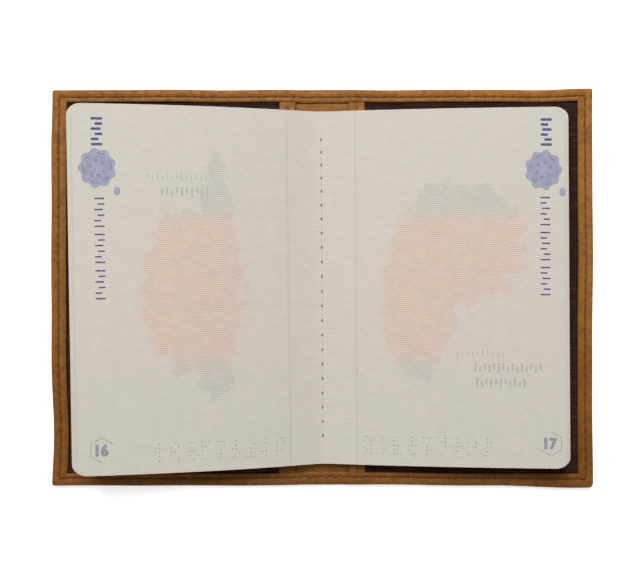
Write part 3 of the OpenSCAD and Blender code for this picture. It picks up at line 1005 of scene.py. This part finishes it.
def digit_outlines(text):
    """Outlines of digits in Blender's own font, filled: points and faces, about 1 high."""
    curve = bpy.data.curves.new("digits", "FONT")
    curve.body = text
    curve.size = 1.4
    curve.align_x = "CENTER"
    curve.resolution_u = 3
    curve.offset = 0.09
    holder = bpy.data.objects.new("digits", curve)
    bpy.context.scene.collection.objects.link(holder)
    mesh = bpy.data.meshes.new_from_object(holder)
    points = np.array([v.co[:2] for v in mesh.vertices])
    faces = [tuple(f.vertices) for f in mesh.polygons]
    bpy.data.objects.remove(holder)
    bpy.data.meshes.remove(mesh)
    return points, faces


def rosette(prints, centre, radii):
    """A generic guilloche rosette in two tones, with a small oval to its lower right."""
    turn = np.linspace(0, 2 * math.pi, 121)[:-1]

    def lobed(size, petals, depth, phase=0.0):
        r = size * (1 + depth * np.cos(petals * turn + phase))
        return np.stack([r * np.cos(turn) * radii[0], r * np.sin(turn) * radii[1]], axis=1) + centre

    prints.polygon(lobed(0.93, 9, 0.07), centre=np.array(centre, float))
    beside = np.array([centre[0] + 6.4 * prints.leaf.sign, centre[1] - 7.7])
    small = np.stack([0.9 * np.cos(turn), 1.25 * np.sin(turn)], axis=1) + beside
    prints.polygon(small, centre=beside)
    prints.flush("emblem_ground", PALE_INK, "paper", 0.012)
    prints.ribbon(lobed(0.93, 9, 0.07), 0.2, closed=True)
    prints.ribbon(small, 0.25, closed=True)
    for k in range(5):
        prints.ribbon(lobed(0.55, 6, 0.42, phase=k * math.pi / 5), 0.12, closed=True)
    for size in (0.2, 0.78):
        prints.ribbon(lobed(size, 9, 0.05), 0.14, closed=True)
    prints.flush("emblem_lines", LINE_INK, "paper", 0.02)


HEADING = 9.6, 3.9, 0.95  # length of the row, height of its bars and their stroke
NOTE = 9.9, 3.4, 0.55  # the same for a thin row
SMALL, LARGE = (2.4, 0.4), (3.2, 0.8)  # height and stroke of a caption's bars
DIGIT_H, FRAME_R, FRAME_W = 3.5, 4.2, 0.3  # the page number's height, its frame's radius and stroke
PINHOLE_R, PINHOLE_Y = 0.27, -55.4  # radius, and place of the middle row
PINHOLE_X, PINHOLE_STEPS = 14.5, (5.2, 1.2, 1.45)  # from sign to sign, column to column and row to row


def page_marks(half, number, column, emblem, heading, notes, place, captions):
    """Marks of one page: a bold row of bars, the rosette, three thin rows, the page number in its open frame,
    random pinholes, and faint captions."""
    prints = Print(half)
    sign = HALVES[half]
    rosette(prints, *emblem)
    prints.bar_row((column, heading), *HEADING)
    for middle in notes:
        prints.bar_row((column - 0.5, middle), *NOTE)
    prints.flush("column_marks", BLUE_INK, "paper", 0.012)
    points, faces = digit_outlines(number)
    middle = (points.max(0) + points.min(0)) / 2
    place = np.array(place, float)
    add_part(prints.points, prints.faces, (points - middle) * (DIGIT_H * sign, DIGIT_H) + place, faces)
    prints.flush("page_number", LILAC_INK, "paper", 0.012)
    first = 150 if half == "front" else 90
    corners = np.radians([first - 60 * k for k in range(5)])
    prints.ribbon([place + FRAME_R * np.array([math.cos(a), math.sin(a)]) for a in corners], FRAME_W)
    rng = np.random.default_rng(7)
    sign_step, column_step, row_step = PINHOLE_STEPS
    for k in range(9):
        for column_x in range(3):
            for row_y in range(5):
                if rng.random() < 0.5:
                    x = PINHOLE_X + sign_step * k + column_step * column_x
                    prints.dot((x, PINHOLE_Y + row_step * (row_y - 2)), PINHOLE_R)
    prints.flush("frame_and_pinholes", GREY_INK, "paper", 0.012)
    for centre, length, bars in captions:
        prints.bar_row(centre, length, *bars, along_page=False)
    prints.flush("faint_captions", FAINT_INK, "paper", 0.012)


# ---- Room ----

def make_room():
    """A pale floor that glows a little, a soft key light beyond the pages' heads, and an even white sky."""
    s = FLOOR_HALF
    mesh = bpy.data.meshes.new("floor")
    mesh.from_pydata([(-s, -s, 0), (s, -s, 0), (s, s, 0), (-s, s, 0)], [], [(0, 1, 2, 3)])
    floor = bpy.data.objects.new("floor", mesh)
    floor.location.z = -FLOOR_DROP * MM
    bpy.context.scene.collection.objects.link(floor)
    paint = bpy.data.materials.new("floor")
    paint.use_nodes = True
    shader = paint.node_tree.nodes["Principled BSDF"]
    shader.inputs["Base Color"].default_value = (0.93, 0.93, 0.93, 1)
    shader.inputs["Roughness"].default_value = 0.9
    shader.inputs["Specular IOR Level"].default_value = 0.1
    shader.inputs["Emission Color"].default_value = (1, 1, 1, 1)
    shader.inputs["Emission Strength"].default_value = FLOOR_GLOW
    mesh.materials.append(paint)
    light = bpy.data.lights.new("key", "AREA")
    light.size = KEY_WIDTH
    light.energy = KEY_POWER
    lamp = bpy.data.objects.new("key", light)
    lamp.location = KEY_PLACE
    lamp.rotation_mode = "QUATERNION"
    lamp.rotation_quaternion = (-Vector(KEY_PLACE)).to_track_quat("-Z", "Y")
    bpy.context.scene.collection.objects.link(lamp)
    world = bpy.data.worlds.new("sky")
    world.use_nodes = True
    world.node_tree.nodes["Background"].inputs["Color"].default_value = (1, 1, 1, 1)
    world.node_tree.nodes["Background"].inputs["Strength"].default_value = SKY_STRENGTH
    bpy.context.scene.world = world
    bpy.context.scene.view_settings.view_transform = "Standard"


# ---- All pieces ----

for half in HALVES:
    frame["nodes"][f"{half}_board"].data.materials.clear()
    frame["nodes"][f"{half}_board"].data.materials.append(BOARD)
    outer_leather(half)
    edge_stitches(half)
    spine_lining(half)
    booklet_layer(half, f"booklet_{half}_cover_board", COVER_BOX, BURGUNDY, "booklet_cover",
                  (f"booklet_{half}_cover", "booklet_spine"), 0.0)
    booklet_layer(half, f"booklet_{half}_endpaper_sheet", ENDPAPER_BOX, PAPER, "paper",
                  (f"booklet_{half}_endpaper",), FOLD_X)
    woven_lining(half)
    pocket(half)
    binding(half)
for leaf in LEAVES.values():
    leaf_piece(leaf)
sewn_folds()
for half in HALVES:
    centre_fold(half)
sewing_thread()
page_marks("front", "16", column=76.3, emblem=((76.3, 40.8), (6.2, 6.7)), heading=53.1,
           notes=(25.9, 13.8, 1.6), place=(76.2, -54.0),
           captions=(((50.0, 38.0), 20, SMALL), ((47.5, 33.2), 16, LARGE)))
page_marks("back", "17", column=78.0, emblem=((77.0, 40.7), (6.3, 6.9)), heading=53.8,
           notes=(26.5, 14.4, 2.3), place=(79.0, -53.9),
           captions=(((55.0, -23.0), 16, SMALL), ((64.5, -27.8), 23, LARGE), ((62.0, -33.0), 17, LARGE)))
make_room()
